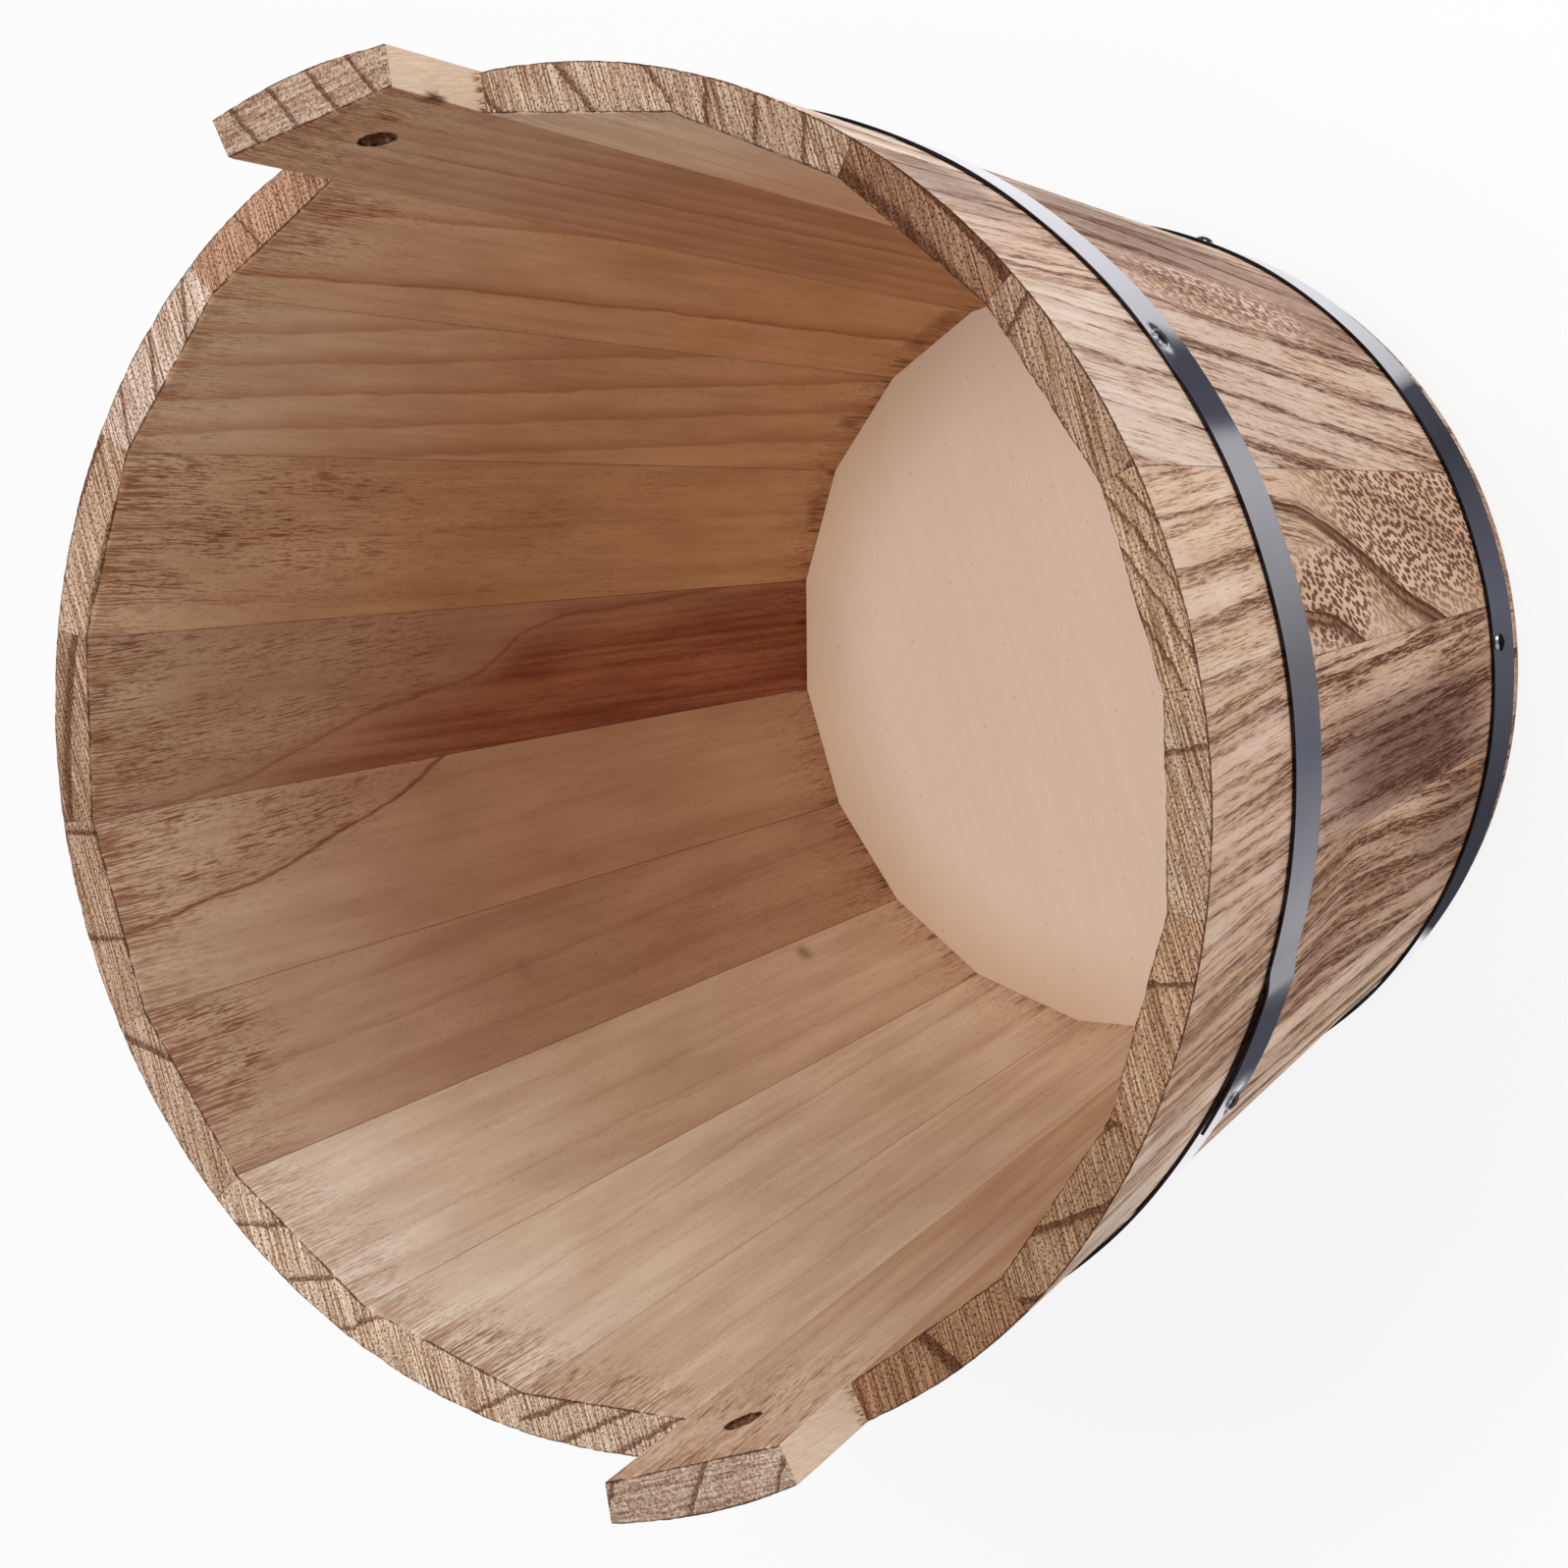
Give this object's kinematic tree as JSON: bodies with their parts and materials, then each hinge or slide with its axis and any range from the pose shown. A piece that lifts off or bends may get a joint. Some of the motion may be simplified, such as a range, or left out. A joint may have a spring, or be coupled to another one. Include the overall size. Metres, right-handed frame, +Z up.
{
  "type": "staved wooden flower pot",
  "caption": "Tapered round planter of bevelled wooden staves held by nailed steel strip hoops, with a grooved-in bottom board and opposite raised ears bored for a rope.",
  "frame": {"origin": "centre of the pot's base, on the surface that it stands on", "axes": "+Z up along the pot's axis, +X towards the middle of one ear"},
  "size_m": [0.3116, 0.3, 0.279],
  "materials": {
    "stave_wood": "light coarse-grained staves, scorched and brushed outside, bare and planed inside",
    "board_wood": "smooth sanded pale board",
    "hoop_steel": "bright rolled strip with fine lines along its length",
    "nail_steel": "dark oiled steel"
  },
  "bodies": {
    "root": {"ear_stave_00": "stave_wood", "stave_01": "stave_wood", "stave_02": "stave_wood", "stave_03": "stave_wood", "stave_04": "stave_wood", "stave_05": "stave_wood", "stave_06": "stave_wood", "stave_07": "stave_wood", "stave_08": "stave_wood", "stave_09": "stave_wood", "ear_stave_10": "stave_wood", "stave_11": "stave_wood", "stave_12": "stave_wood", "stave_13": "stave_wood", "stave_14": "stave_wood", "stave_15": "stave_wood", "stave_16": "stave_wood", "stave_17": "stave_wood", "stave_18": "stave_wood", "stave_19": "stave_wood", "bottom_board": "board_wood", "upper_hoop": "hoop_steel", "lower_hoop": "hoop_steel", "upper_hoop_nails": "nail_steel", "lower_hoop_nails": "nail_steel"}
  },
  "joints": []
}
